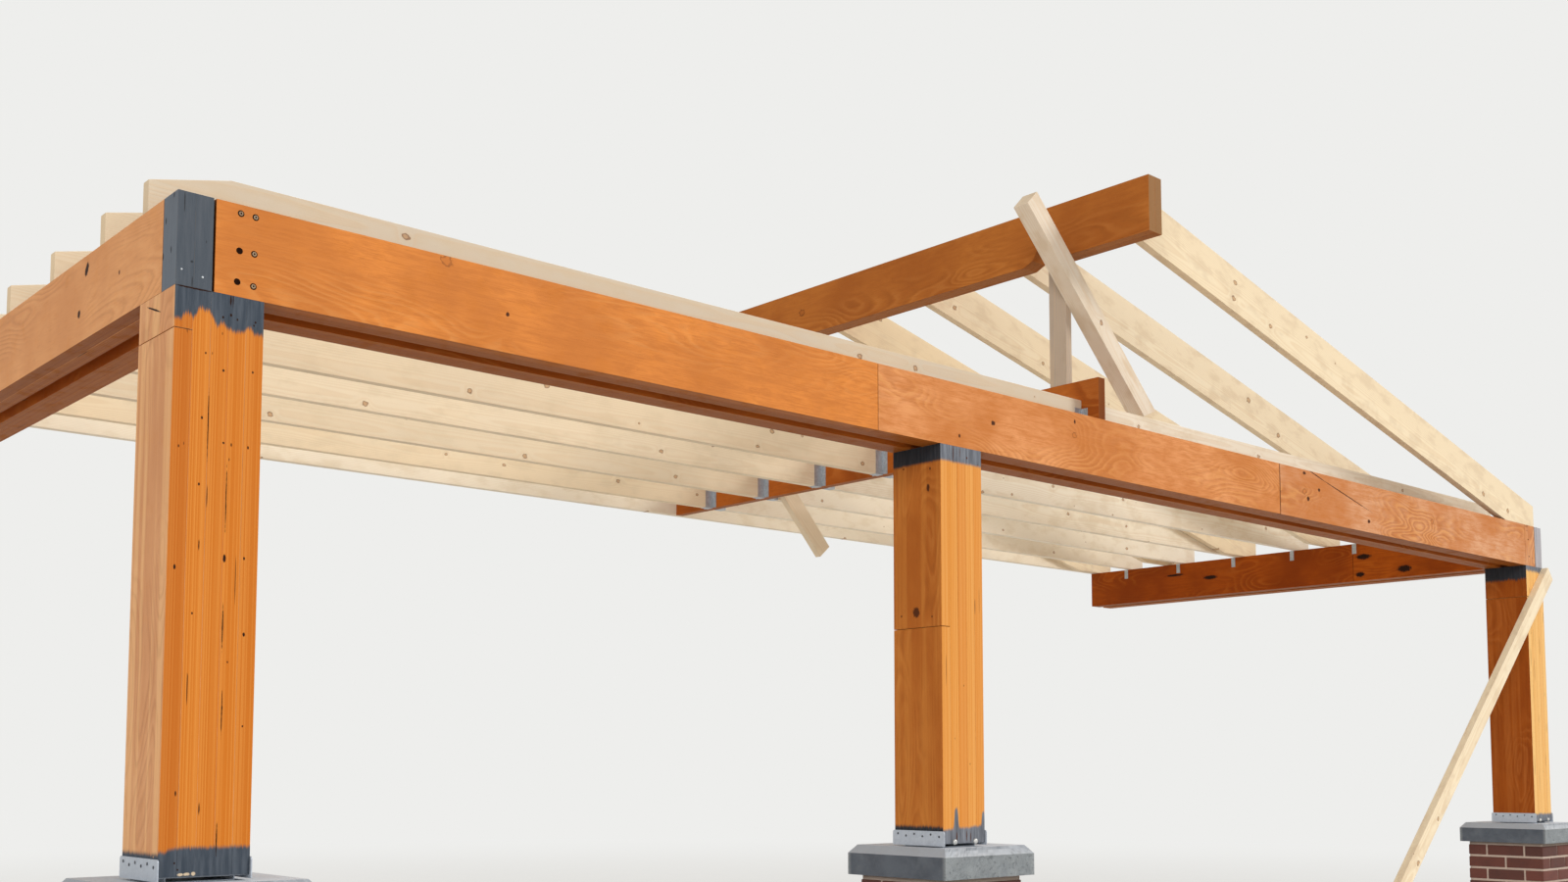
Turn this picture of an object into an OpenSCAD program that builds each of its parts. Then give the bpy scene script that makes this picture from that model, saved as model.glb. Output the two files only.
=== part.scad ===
// Porch canopy in timber on three brick piers, half framed, as it stands before its roof is closed.
// X runs along the wall, Y towards the wall and Z up. All sizes are in millimetres.
// The origin is the middle of the ledger's back face, where the canopy meets the wall.

/* [Overall] */
// Width over the outer faces of the two end posts
canopy_w = 7938; // [6500:1:9500]
// Distance from the front of the posts to the wall
canopy_d = 3050; // [2700:1:3600]
// Height from the ground to the underside of the beams
beam_z = 2695; // [2300:1:3300]
// Left face of the middle post, from the left face of the canopy
middle_post_x = 2737; // [1500:1:3300]

/* [Laminated timber] */
// Thickness of one laminated ply
ply_t = 44.5; // [38:0.5:50]
// Depth of the laminated beams, and of the posts front to back
beam_d = 235; // [200:1:300]
// Plies in each member of a beam
member_plies = 2; // [1:1:2]
// Plies in each post
post_plies = 5; // [4:1:6]
// Width of the joints where boards meet end to end
butt_gap = 2; // [1:0.5:4]
// Gap between a corner block and the front beam
corner_gap = 6; // [2:0.5:12]
// Depth of the fine groove between plies
ply_groove = 1.5; // [0.5:0.5:3]
// Width of that groove
groove_w = 1; // [0.5:0.5:2]
// First joint of the front beam's face boards, from the canopy's left face
face_joint_1 = 2420; // [1200:1:3600]
// Second joint of the face boards, from the canopy's left face
face_joint_2 = 5053; // [3900:1:6000]
// Joint in the left post's outer ply, below the beams
left_joint_drop = 105; // [40:1:900]
// Joint in the middle post's outer ply, below the beams
middle_joint_drop = 660; // [40:1:900]
// Joint in the right post's outer ply, below the beams
right_joint_drop = 180; // [40:1:900]
// Height of the blocks that keep the two members of a beam apart
spacer_h = 205; // [120:1:215]
// Distance between those blocks in the front beam
spacer_pitch = 1925; // [1200:5:2400]
// Blocks in each side beam
side_spacers = 3; // [2:1:5]

/* [Piers] */
// Height from the ground to the top of the left cap
cap_top_left = 1255; // [700:1:1500]
// Height from the ground to the top of the middle cap
cap_top_middle = 1248; // [700:1:1500]
// Height from the ground to the top of the right cap
cap_top_right = 1219; // [700:1:1500]
// Width of the brick piers, square on plan: two bricks and a joint
pier_w = 416; // [360:1:430]
// Width of the stone caps, square on plan
cap_w = 484; // [440:1:560]
// Thickness of the stone caps
cap_t = 109; // [70:1:140]
// Height of the bevel round the top edge of the caps
bevel_h = 30; // [4:1:50]
// Width of that bevel
bevel_w = 25; // [4:1:40]
// How far the left cap stands out past the left face of its post
cap_side_left = 109; // [30:1:130]
// How far the middle cap stands out past the left face of its post
cap_side_middle = 53; // [30:1:130]
// How far the right cap stands out past the left face of its post
cap_side_right = 76; // [30:1:130]
// How far the left cap stands out past the front face of its post
cap_front_left = 80; // [30:1:110]
// How far the middle cap stands out past the front face of its post
cap_front_middle = 58; // [30:1:110]
// How far the right cap stands out past the front face of its post
cap_front_right = 85; // [30:1:110]

/* [Post bases] */
// Gap between the cap and the end of the post
standoff_h = 15; // [10:1:60]
// Thickness of the base's plate
base_t = 3; // [2:0.5:4]
// Height of the two side flanges
flange_h = 53; // [45:1:120]
// Gap between the cap and the flanges
flange_low = 5; // [2:1:6]
// How far the flanges stand out past the post's front and rear faces
flange_out = 8; // [0:1:20]
// Rounding of the flanges' top corners
flange_r = 8; // [3:1:15]
// How far the base's plate ends inside the post's front and rear faces
plate_in = 18; // [5:1:40]
// How far the channel's legs stand in from the post's faces
leg_inset = 26; // [10:1:60]
// Diameter of the nail holes in the flanges
nail_hole_d = 5; // [4:0.5:8]
// Nail holes in each flange
nail_holes = 6; // [3:1:6]
// Distance between the nail holes along a flange
nail_pitch = 40; // [20:1:44]
// From the flange's top edge to the upper nail holes
nail_in = 12; // [8:1:14]
// How much lower every second nail hole is
nail_stagger = 7; // [0:1:10]

/* [Ridge and cross-beam] */
// Middle line of the ridge, from the left face of the canopy
ridge_x = 3915; // [3200:1:4300]
// Height of the ridge's top above the underside of the beams
ridge_rise = 1256; // [900:1:1500]
// How far the ridge runs out past the front of the posts
ridge_out = 127; // [0:1:400]
// Length of the front piece of the ridge
ridge_front_l = 534; // [500:1:900]
// Cross-beam's front end, from the front of the posts
cross_beam_y = 154; // [150:1:230]
// Corner broken off the front end of the ridge's rear piece
ridge_break = 70; // [20:1:120]

/* [Joists and rafters] */
// Thickness of joists, rafters, studs and braces
board_t = 38; // [32:1:45]
// Depth of the ceiling joists and the ledger
joist_d = 150; // [120:1:190]
// Distance between the regular ceiling joists
joist_pitch = 427; // [380:1:430]
// From the front of the posts to the first regular joist
joist_start = 561; // [400:1:650]
// Least gap between the last joist and the ledger
joist_end_gap = 150; // [60:1:250]
// Gap between the front beam and the first joist
first_joist_gap = 7; // [1:1:40]
// How far the left joists end inside the canopy's left face
joist_in_left = 14; // [0:1:60]
// How far the right joists end inside the canopy's right face
joist_in_right = 101; // [60:1:120]
// Depth of the rafters
rafter_d = 200; // [140:1:240]
// Distance between the rafters, fronts face to face
rafter_pitch = 600; // [560:1:600]
// Height of the rafters' plumb tails above the beams, which sets the slope of the roof
tail_h = 118; // [60:1:145]

/* [Temporary timbers] */
// Width of the stud and of the braces
brace_w = 89; // [70:1:110]
// Length of the leaning brace's lower edge, up past the ridge's lower corner
ridge_brace_l = 1107; // [900:1:1200]
// From the cross-beam to the heel of the leaning brace
ridge_brace_run = 407; // [300:1:520]
// Gap between the leaning brace and the ridge's lower corner
ridge_brace_gap = 36; // [5:1:50]
// How much longer its upper edge is at the foot, where the cut isn't square
ridge_brace_skew = 35; // [0:1:80]
// Length of the short brace left hanging from a joist
hung_brace_l = 445; // [300:1:460]
// Slope of the short brace, in degrees from level
hung_brace_a = 48; // [44:1:60]
// From the cross-beam to the lowest corner of the short brace
hung_brace_run = 316; // [310:1:420]
// How far the short brace hangs below the beams
hung_brace_drop = 43; // [0:1:120]
// Where the post brace meets the ground, from the canopy's left face
post_brace_x = 5010; // [4300:1:5600]
// How far the post brace's end stands out past the right face, on its middle line
post_brace_out = 23; // [0:1:60]
// Depth of that end below the underside of the beams
post_brace_drop = 33; // [33:1:160]

/* [Metal] */
// Thickness of the joist hangers and ties
sheet_t = 1.5; // [1:0.1:3]
// Height of a joist hanger
hanger_h = 112; // [70:1:115]
// Width of a hanger's nailing flange
hanger_flange = 30; // [20:1:34]
// Length of the hanger's seat under the joist
hanger_seat = 48; // [30:1:70]
// Width of a joist tie
tie_w = 28; // [18:1:35]
// Height of a tie below the top of its beam
tie_drop = 62; // [30:1:90]
// Height of a tie above the top of its beam
tie_rise = 45; // [20:1:60]

/* [Hidden] */
$fn = 24;
cut = 1; // how far a cutter runs past the face it cuts

// Heights
beam_top_z = beam_z + beam_d;
ridge_top_z = beam_z + ridge_rise;
ridge_z = ridge_top_z - beam_d;
cross_top_z = beam_top_z + beam_d;
joist_top_z = beam_top_z + joist_d;

// Plan of the posts and beams
post_w = post_plies * ply_t;
member_t = member_plies * ply_t;
post_xs = [0, middle_post_x, canopy_w - post_w];
joint_drops = [left_joint_drop, middle_joint_drop, right_joint_drop];
cap_tops = [cap_top_left, cap_top_middle, cap_top_right];
cap_sides = [cap_side_left, cap_side_middle, cap_side_right];
cap_fronts = [cap_front_left, cap_front_middle, cap_front_right];
left_inner_x = post_w - member_t;
right_inner_x = canopy_w - post_w;
front_inner_y = beam_d - member_t;
side_beam_y = member_t + butt_gap;
inner_beam_y = beam_d + butt_gap;
front_x0 = member_t + corner_gap;
front_x1 = canopy_w - member_t - corner_gap;

// The face boards meet at these places, the last at the right post's left face
face_joints = [face_joint_1, face_joint_2, canopy_w - post_w];

// Ridge, cross-beam and roof planes
ridge_x0 = ridge_x - ply_t;
ridge_x1 = ridge_x + ply_t;
cross_x0 = ridge_x - ply_t / 2;
cross_x1 = ridge_x + ply_t / 2;
ridge_joint_y = ridge_front_l - ridge_out;
tail_z = beam_top_z + tail_h;
right_fall = (ridge_top_z - tail_z) / (front_x1 - ridge_x1);
left_fall = (ridge_top_z - tail_z) / (ridge_x0 - front_x0);
rafter_plumb = rafter_d * sqrt(1 + right_fall * right_fall);
function roof_right(x) = ridge_top_z - right_fall * (x - ridge_x1);
function roof_left(x) = ridge_top_z - left_fall * (ridge_x0 - x);
function right_x_at(z) = ridge_x1 + (ridge_top_z - z) / right_fall;
function left_x_at(z) = ridge_x0 - (ridge_top_z - z) / left_fall;

// Joists: one stands behind the front beam, and regular ones follow as far as the ledger
ledger_y = canopy_d - board_t;
first_joist_y = beam_d + first_joist_gap;
joist_ys = concat([first_joist_y],
    [for (y = [joist_start:joist_pitch:ledger_y - joist_end_gap - board_t]) y]);
joist_x0 = joist_in_left;
joist_x1 = canopy_w - joist_in_right;
seat_gap = 1; // play between a joist's end and the cross-beam

// Rafters: a rafter that would run through a joist stands against its front face
rafter_count = 6;
function beside_joist(y) = let (hit = [for (j = joist_ys) if (abs(y - j) < board_t) j])
    len(hit) > 0 ? hit[0] - board_t : y;
rafter_ys = concat([for (i = [0:rafter_count - 2]) beside_joist(i * rafter_pitch)],
    [ledger_y - board_t]);

// Ties stand behind the joists that have no rafter there
tie_ys = [for (j = joist_ys)
    if (len([for (r = rafter_ys) if (r < j + board_t + tie_w && r > j - board_t + cut) r]) == 0)
        j + board_t];

// Stud and braces
stud_y = first_joist_y + 2 * board_t;
seat_play = 0.3; // under the heel of the leaning brace
heel = [cross_x1 + ridge_brace_run, joist_top_z + seat_play];
ridge_corner = [ridge_x0, ridge_z];
ridge_brace_a = atan2(ridge_corner.y - heel.y, heel.x - ridge_corner.x)
    - asin((brace_w + ridge_brace_gap) / norm(ridge_corner - heel));
hung_brace_y = joist_ys[len(joist_ys) - 2] - sheet_t - board_t; // over the side of its hanger

// The frame: the middle of the ledger's back face
ledger_mid_x = (joist_x0 + joist_x1) / 2;
ledger_mid_z = beam_top_z + joist_d / 2;
module place() {
    translate([-ledger_mid_x, -canopy_d, -ledger_mid_z]) children();
}

lvl = [0.80, 0.50, 0.24];
pale = [0.90, 0.80, 0.62];
zinc = [0.70, 0.72, 0.74];
slate = [0.27, 0.30, 0.33];

// A block from its low corner to its high corner
module box(lo, hi) {
    translate(lo) cube(hi - lo);
}

// A board with its outline in X and Z, running back from y
module board_xz(y, t = board_t) {
    translate([0, y + t, 0]) rotate([90, 0, 0]) linear_extrude(t) children();
}

// A board with its outline in Y and Z, running right from x
module board_yz(x, t) {
    translate([x, 0, 0]) rotate([90, 0, 90]) linear_extrude(t) children();
}

// Brick pier under cap i, centred on it
module pier(i) {
    inset = (cap_w - pier_w) / 2;
    corner = [post_xs[i] - cap_sides[i] + inset, inset - cap_fronts[i], 0];
    color([0.45, 0.22, 0.16]) place()
        box(corner, corner + [pier_w, pier_w, cap_tops[i] - cap_t]);
}

// Stone cap with a bevel round its top edge
module cap(i) {
    color([0.42, 0.44, 0.46]) place()
        translate([post_xs[i] - cap_sides[i], -cap_fronts[i], cap_tops[i] - cap_t])
            intersection() {
                board_xz(0, cap_w) cap_outline();
                board_yz(0, cap_w) cap_outline();
            }
}

module cap_outline() {
    polygon([[0, 0], [cap_w, 0], [cap_w, cap_t - bevel_h], [cap_w - bevel_w, cap_t],
        [bevel_w, cap_t], [0, cap_t - bevel_h]]);
}

// Post base: a standoff channel on the cap and two flanges nailed to the sides of the post
module post_base(i) {
    leg_h = standoff_h - base_t;
    color(zinc) place() translate([post_xs[i], 0, cap_tops[i]]) difference() {
        union() {
            box([-base_t, plate_in, leg_h], [post_w + base_t, beam_d - plate_in, standoff_h]);
            for (fx = [-base_t, post_w])
                board_yz(fx, base_t) flange_outline();
            for (lx = [leg_inset, post_w - leg_inset - base_t])
                box([lx, leg_inset, 0], [lx + base_t, beam_d - leg_inset, leg_h]);
            box([leg_inset, leg_inset, 0], [post_w - leg_inset, beam_d - leg_inset, base_t]);
        }
        for (n = [0:nail_holes - 1])
            translate([-base_t - cut, beam_d / 2 + (n - (nail_holes - 1) / 2) * nail_pitch,
                flange_low + flange_h - nail_in - ((n + 1) % 2) * nail_stagger])
                rotate([0, 90, 0]) cylinder(h = post_w + 2 * base_t + 2 * cut, d = nail_hole_d);
    }
}

// Side flange with its two top corners rounded
module flange_outline() {
    y0 = -flange_out;
    y1 = beam_d + flange_out;
    top = flange_low + flange_h;
    translate([y0, flange_low]) square([y1 - y0, flange_h - flange_r]);
    translate([y0 + flange_r, flange_low]) square([y1 - y0 - 2 * flange_r, flange_h]);
    for (y = [y0 + flange_r, y1 - flange_r])
        translate([y, top - flange_r]) circle(flange_r);
}

// Post of upright plies, grooved where they meet; its left ply has one butt joint
module post(i) {
    x = post_xs[i];
    post_z = cap_tops[i] + standoff_h;
    color(lvl) place() difference() {
        box([x, 0, post_z], [x + post_w, beam_d, beam_z]);
        for (n = [1:post_plies - 1], y = [-cut, beam_d - ply_groove])
            translate([x + n * ply_t - groove_w / 2, y, post_z - cut])
                cube([groove_w, ply_groove + cut, beam_z - post_z + 2 * cut]);
        translate([x - cut, -cut, beam_z - joint_drops[i]])
            cube([ply_groove + cut, beam_d + 2 * cut, groove_w]);
    }
}

// Block that carries a corner post's outer plies up to the top of the beams
module corner_block(x) {
    color(slate) place() box([x, 0, beam_z], [x + member_t, member_t, beam_top_z]);
}

// Face boards of the front beam, butted end to end
module front_beam_boards() {
    starts = concat([front_x0], [for (j = face_joints) j + butt_gap / 2]);
    ends = concat([for (j = face_joints) j - butt_gap / 2], [front_x1]);
    color(lvl) place() for (i = [0:len(starts) - 1])
        box([starts[i], 0, beam_z], [ends[i], ply_t, beam_top_z]);
}

module front_beam_back_ply() {
    color(lvl) place() box([front_x0, ply_t, beam_z], [front_x1, member_t, beam_top_z]);
}

// Inner member, two plies with a fine groove between them
module member_along_x(x0, x1, y) {
    color(lvl) place() difference() {
        box([x0, y, beam_z], [x1, y + member_t, beam_top_z]);
        for (i = [1:1:member_plies - 1], z = [beam_z - cut, beam_top_z - ply_groove])
            translate([x0 - cut, y + i * ply_t - groove_w / 2, z])
                cube([x1 - x0 + 2 * cut, groove_w, ply_groove + cut]);
    }
}

module member_along_y(x, y0, y1) {
    color(lvl) place() difference() {
        box([x, y0, beam_z], [x + member_t, y1, beam_top_z]);
        for (i = [1:1:member_plies - 1], z = [beam_z - cut, beam_top_z - ply_groove])
            translate([x + i * ply_t - groove_w / 2, y0 - cut, z])
                cube([groove_w, y1 - y0 + 2 * cut, ply_groove + cut]);
    }
}

// Blocks between the two members of a beam, set up from its underside
module front_beam_spacers() {
    count = floor((front_x1 - front_x0 - post_w) / spacer_pitch);
    color(lvl) place() for (i = [0:count])
        translate([front_x0 + post_w / 2 + i * spacer_pitch, member_t, beam_top_z - spacer_h])
            cube([board_t, front_inner_y - member_t, spacer_h]);
}

module side_beam_spacers(x) {
    run = canopy_d - inner_beam_y - board_t;
    color(lvl) place() for (i = [0:side_spacers - 1])
        translate([x, inner_beam_y + i * run / (side_spacers - 1), beam_top_z - spacer_h])
            cube([post_w - 2 * member_t, board_t, spacer_h]);
}

// Single-ply cross-beam on top of the front beam, under the ridge
module cross_beam() {
    color(lvl) place() box([cross_x0, cross_beam_y, beam_top_z], [cross_x1, ledger_y, cross_top_z]);
}

// Front piece of the two-ply ridge, out past the posts
module ridge_front() {
    color(lvl) place() difference() {
        box([ridge_x0, -ridge_out, ridge_z], [ridge_x1, ridge_joint_y - butt_gap, ridge_top_z]);
        for (z = [ridge_z - cut, ridge_top_z - ply_groove])
            translate([ridge_x - groove_w / 2, -ridge_out - cut, z])
                cube([groove_w, ridge_front_l + 2 * cut, ply_groove + cut]);
    }
}

// Rear piece of the ridge, with a corner broken off where the two pieces meet
module ridge_rear() {
    broken = [[0, 1.3], [0.6, 0.9], [1, 0.3], [1.7, 0]]; // outline of the break, in breaks
    color(lvl) place() board_yz(ridge_x0, ridge_x1 - ridge_x0)
        polygon(concat([[ridge_joint_y, ridge_top_z]],
            [for (b = broken) [ridge_joint_y, ridge_z] + ridge_break * b],
            [[canopy_d, ridge_z], [canopy_d, ridge_top_z]]));
}

// Outline of a timber that lies on the beams and is cut to the roof at one end or at both
module joist_outline(x0, x1) {
    polygon(concat([[x0, beam_top_z], [x1, beam_top_z]],
        roof_right(x1) < joist_top_z
            ? [[x1, roof_right(x1)], [right_x_at(joist_top_z), joist_top_z]]
            : [[x1, joist_top_z]],
        roof_left(x0) < joist_top_z
            ? [[left_x_at(joist_top_z), joist_top_z], [x0, roof_left(x0)]]
            : [[x0, joist_top_z]]));
}

// Board against the wall that closes the ceiling
module ledger() {
    color(pale) place() board_xz(ledger_y) joist_outline(joist_x0, joist_x1);
}

module joists_left() {
    color(pale) place() for (y = joist_ys)
        board_xz(y) joist_outline(joist_x0, cross_x0 - seat_gap);
}

module joists_right() {
    color(pale) place() for (y = joist_ys)
        board_xz(y) joist_outline(cross_x1 + seat_gap, joist_x1);
}

// Sheet-metal joist hanger; side is -1 on the cross-beam's left face and 1 on its right
module hanger(x, y, side) {
    translate([x, y, beam_top_z]) mirror([side < 0 ? 1 : 0, 0, 0]) {
        for (fy = [-hanger_flange - sheet_t, board_t + sheet_t])
            translate([0, fy, sheet_t]) cube([sheet_t, hanger_flange, hanger_h]);
        for (wy = [-sheet_t, board_t])
            translate([0, wy, -sheet_t]) cube([hanger_seat, sheet_t, hanger_h + 2 * sheet_t]);
        translate([0, -sheet_t, -sheet_t]) cube([hanger_seat, board_t + 2 * sheet_t, sheet_t]);
    }
}

module hangers_left() {
    color(zinc) place() for (y = joist_ys) hanger(cross_x0, y, -1);
}

module hangers_right() {
    color(zinc) place() for (y = joist_ys) hanger(cross_x1, y, 1);
}

// Tie from the beam's inner face up the rear face of a joist
module tie(x, y, side) {
    translate([x, y, beam_top_z]) mirror([side < 0 ? 1 : 0, 0, 0]) {
        translate([-sheet_t, 0, -tie_drop]) cube([sheet_t, tie_w, tie_drop + sheet_t]);
        translate([-sheet_t, 0, sheet_t]) cube([tie_w, sheet_t, tie_rise]);
    }
}

module ties_left() {
    color(zinc) place() for (y = tie_ys) tie(post_w, y, -1);
}

module ties_right() {
    color(zinc) place() for (y = tie_ys) tie(right_inner_x, y, 1);
}

// Rafter from the ridge's right face to a level seat on the right beam, with a plumb tail
module rafter(i) {
    seat_x = right_x_at(beam_top_z + rafter_plumb);
    color(pale) place() board_xz(rafter_ys[i - 1])
        polygon([[ridge_x1, ridge_top_z], [ridge_x1, ridge_top_z - rafter_plumb],
            [seat_x, beam_top_z], [front_x1, beam_top_z], [front_x1, tail_z]]);
}

// Stud that props the ridge's joint off the cross-beam
module ridge_stud() {
    color(pale) place() box([cross_x0, stud_y, cross_top_z],
        [cross_x0 + board_t, stud_y + brace_w, ridge_z]);
}

// Doubled brace in front of the stud: its heel stands on the first joist and its top end is free
module ridge_brace() {
    color(pale) place() board_xz(first_joist_y, 2 * board_t) translate(heel)
        rotate(180 - ridge_brace_a) mirror([0, 1])
            polygon([[0, 0], [ridge_brace_l, 0], [ridge_brace_l, brace_w], [-ridge_brace_skew, brace_w]]);
}

// Short brace nailed to a joist of the right bay, its lower end left hanging
module hung_brace() {
    color(pale) place() board_xz(hung_brace_y)
        translate([cross_x1 + hung_brace_run, beam_z - hung_brace_drop])
            rotate(180 - hung_brace_a) mirror([0, 1]) square([hung_brace_l, brace_w]);
}

// Long brace on the front of the right post, down to the ground beyond the pier
module post_brace() {
    rise = beam_z - post_brace_drop;
    run = canopy_w + post_brace_out - post_brace_x;
    slope = atan2(rise, run);
    color(pale) place() board_xz(-board_t) intersection() {
        translate([post_brace_x, 0]) rotate(slope)
            translate([-brace_w, -brace_w / 2]) square([norm([rise, run]) + brace_w, brace_w]);
        square([2 * canopy_w, beam_top_z]);
    }
}

pier(0);  // pier_left
pier(1);  // pier_middle
pier(2);  // pier_right
cap(0);  // cap_left
cap(1);  // cap_middle
cap(2);  // cap_right
post_base(0);  // base_left
post_base(1);  // base_middle
post_base(2);  // base_right
post(0);  // post_left
post(1);  // post_middle
post(2);  // post_right
corner_block(0);  // corner_block_left
corner_block(canopy_w - member_t);  // corner_block_right
front_beam_boards();
front_beam_back_ply();
member_along_x(front_x0, front_x1, front_inner_y);  // front_beam_inner
front_beam_spacers();
member_along_y(0, side_beam_y, canopy_d);  // left_beam_outer
member_along_y(left_inner_x, inner_beam_y, canopy_d);  // left_beam_inner
side_beam_spacers(member_t);  // left_beam_spacers
member_along_y(canopy_w - member_t, side_beam_y, canopy_d);  // right_beam_outer
member_along_y(right_inner_x, inner_beam_y, canopy_d);  // right_beam_inner
side_beam_spacers(right_inner_x + member_t);  // right_beam_spacers
cross_beam();
ridge_front();
ridge_rear();
ledger();
joists_left();
joists_right();
hangers_left();
hangers_right();
ties_left();
ties_right();
rafter(1);  // rafter_1
rafter(2);  // rafter_2
rafter(3);  // rafter_3
rafter(4);  // rafter_4
rafter(5);  // rafter_5
rafter(6);  // rafter_6
ridge_stud();
ridge_brace();
hung_brace();
post_brace();
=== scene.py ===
import math
import random
import bmesh
import bpy
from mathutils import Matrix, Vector, noise


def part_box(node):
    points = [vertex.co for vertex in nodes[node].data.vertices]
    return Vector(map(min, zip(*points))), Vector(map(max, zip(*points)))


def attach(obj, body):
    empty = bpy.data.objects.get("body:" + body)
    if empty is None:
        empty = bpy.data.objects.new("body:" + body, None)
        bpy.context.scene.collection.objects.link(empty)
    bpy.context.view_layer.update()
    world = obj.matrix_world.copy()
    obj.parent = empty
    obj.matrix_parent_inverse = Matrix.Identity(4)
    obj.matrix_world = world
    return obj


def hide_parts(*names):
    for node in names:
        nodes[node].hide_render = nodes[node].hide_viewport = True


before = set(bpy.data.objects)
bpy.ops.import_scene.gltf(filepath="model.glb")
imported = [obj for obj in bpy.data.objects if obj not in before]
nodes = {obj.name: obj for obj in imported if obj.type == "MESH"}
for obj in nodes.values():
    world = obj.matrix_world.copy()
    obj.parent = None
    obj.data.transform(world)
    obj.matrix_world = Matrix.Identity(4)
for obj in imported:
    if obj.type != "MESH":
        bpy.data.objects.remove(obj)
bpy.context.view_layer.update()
scene = bpy.context.scene
noise.seed_set(1)  # or the boards' bow would differ from run to run
print("frame loaded,", len(nodes), "CAD nodes")

view = {
    "fromPostTop": (-1.3633, -3.7080, -1.1708),  # metres from the left post's front top corner
    "turn": 0.73383, "tilt": 0.0766, "lens": 35.586, "shift": 0.1337, "sensor": 36.0, "reach": 300.0,
}
light = {"keyStrength": 1.6, "keySoftness": 0.35, "keyFrom": (0.50, -0.70, 0.52), "skyStrength": 0.6,
         "skyTone": (1.0, 0.985, 0.96, 1.0), "fillStrength": 0.85, "fillFrom": (-0.80, -0.45, 0.25),
         "backdrop": (0.855, 0.855, 0.839, 1.0)}
timber = {"bevel": 0.0022, "plyBevel": 0.0005, "metalBevel": 0.0003, "step": 0.32, "bow": 0.0005,
          "sawGap": 0.0011}
faceKinds = {"wide": 0.0, "edge": 1.0, "end": 2.0, "arris": 3.0}
axisX, axisZ = Vector((1, 0, 0)), Vector((0, 0, 1))
sides = ("left", "middle", "right")
bench = {}  # the node tree and the look under work


# Node helpers. A wire is a node's output, and sums and products of wires add Math nodes
class Wire:
    def __init__(self, socket):
        self.socket = socket

    def __add__(self, other):
        return calc("ADD", self, other)

    def __sub__(self, other):
        return calc("SUBTRACT", self, other)

    def __rsub__(self, other):
        return calc("SUBTRACT", other, self)

    def __mul__(self, other):
        return calc("MULTIPLY", self, other)

    def __truediv__(self, other):
        return calc("DIVIDE", self, other)


def plugIn(socket, value):  # a name is one of the colours of the look under work
    if isinstance(value, str):
        tone = bench["look"][value]  # as on screen, 0 to 255; the socket takes it linear
        value = [c / 3294.6 if c < 10.3 else ((c / 255 + 0.055) / 1.055) ** 2.4 for c in tone] + [1.0]
    if isinstance(value, Wire):
        bench["tree"].links.new(value.socket, socket)
    else:
        socket.default_value = value


def addNode(kind, plugs=None, out=0, **settings):  # gives the wire that out names, or a list of them
    item = bench["tree"].nodes.new("ShaderNode" + kind)
    for key, value in settings.items():
        setattr(item, key, value)
    for key, value in (plugs or {}).items():
        plugIn(item.inputs[key], value)
    return [Wire(item.outputs[key]) for key in out] if isinstance(out, tuple) else Wire(item.outputs[out])


def calc(how, *terms, limit=False):
    return addNode("Math", dict(enumerate(terms)), operation=how, use_clamp=limit)


def vector(how, *terms, out=0):
    return addNode("VectorMath", dict(enumerate(terms)), out, operation=how)


def split(wire, kind="XYZ"):
    return addNode("Separate" + kind, {0: wire}, (0, 1, 2))


def mixed(mask, under, over):
    return addNode("Mix", {0: mask, 6: under, 7: over}, 2, data_type="RGBA")


def layered(colour, *coats):  # each coat is a mask, how much of it shows, and its colour
    for mask, share, over in coats:
        colour = mixed(mask * share, colour, over)
    return colour


def fade(value, low, high, start=0.0, end=1.0):  # smooth step from low to high
    return addNode("MapRange", {0: value, 1: low, 2: high, 3: start, 4: end}, interpolation_type="SMOOTHSTEP")


def cloudy(place, scale, detail=2.0, rough=0.5, warp=0.0):  # three scales stretch the place first
    if isinstance(scale, tuple):
        place, scale = vector("MULTIPLY", place, scale), 1.0
    return addNode("TexNoise", {"Vector": place, "Scale": scale, "Detail": detail, "Roughness": rough,
                                "Distortion": warp})


def scattered(x, y, spread):  # a spot in each cell: how far x and y are from it, and three random numbers
    spot, luck = addNode("TexVoronoi", {"Vector": addNode("CombineXYZ", {0: x, 1: y}), "Scale": 1.0,
                                        "Randomness": spread}, ("Position", "Color"), voronoi_dimensions="2D")
    spot, luck = split(spot), split(luck, "Color")
    return x - spot[0], y - spot[1], luck


def makeGroup(name, build, plugs):  # build takes a wire for each input and gives a wire for each output
    tree = bench["tree"] = bpy.data.node_groups.new(name, "ShaderNodeTree")
    for key, value in plugs.items():
        kind = "NodeSocketVector" if value is None else "NodeSocketFloat"
        item = tree.interface.new_socket(key, in_out="INPUT", socket_type=kind)
        if value is not None:
            item.default_value = value
    given = tree.nodes.new("NodeGroupInput").outputs
    wires = build(*[Wire(given[key]) for key in plugs])
    for key in wires:
        tree.interface.new_socket(key, in_out="OUTPUT", socket_type="NodeSocketFloat")
    results = tree.nodes.new("NodeGroupOutput").inputs
    for key, wire in wires.items():
        plugIn(results[key], wire)
    return tree


def useGroup(group, **plugs):
    item = bench["tree"].nodes.new("ShaderNodeGroup")
    item.node_tree = group
    for key, value in plugs.items():
        plugIn(item.inputs[key[0].upper() + key[1:]], value)
    return {socket.name: Wire(socket) for socket in item.outputs}


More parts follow.
